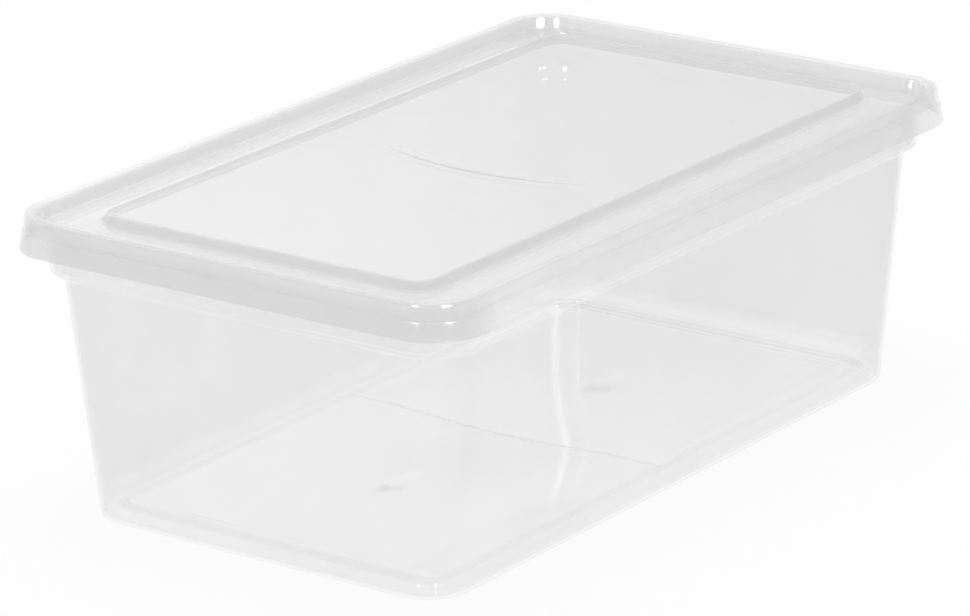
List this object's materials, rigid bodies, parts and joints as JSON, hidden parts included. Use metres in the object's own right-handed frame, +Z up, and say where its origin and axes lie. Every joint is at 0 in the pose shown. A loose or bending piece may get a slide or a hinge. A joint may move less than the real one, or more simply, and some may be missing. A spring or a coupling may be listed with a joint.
{
  "type": "storage box with lid",
  "caption": "Clear tapered storage box with a lift-off lid: raised hollow rim, channel, raised panel and flared skirt over the tub's lip.",
  "frame": {"origin": "middle of the underside, on the plane the box stands on", "axes": "+X along the length, +Y across the width, +Z up, out through the lid"},
  "size_m": [0.346, 0.215, 0.123],
  "materials": {
    "clear_polypropylene": "clear, slightly milky, glossy as moulded"
  },
  "bodies": {
    "tub": {"tub": "clear_polypropylene"},
    "lid": {"lid": "clear_polypropylene"}
  },
  "joints": [
    {"name": "lid_lift", "type": "slide", "parent": "tub", "child": "lid", "axis": [0, 0, 1], "range_m": [0, 0.12]}
  ]
}
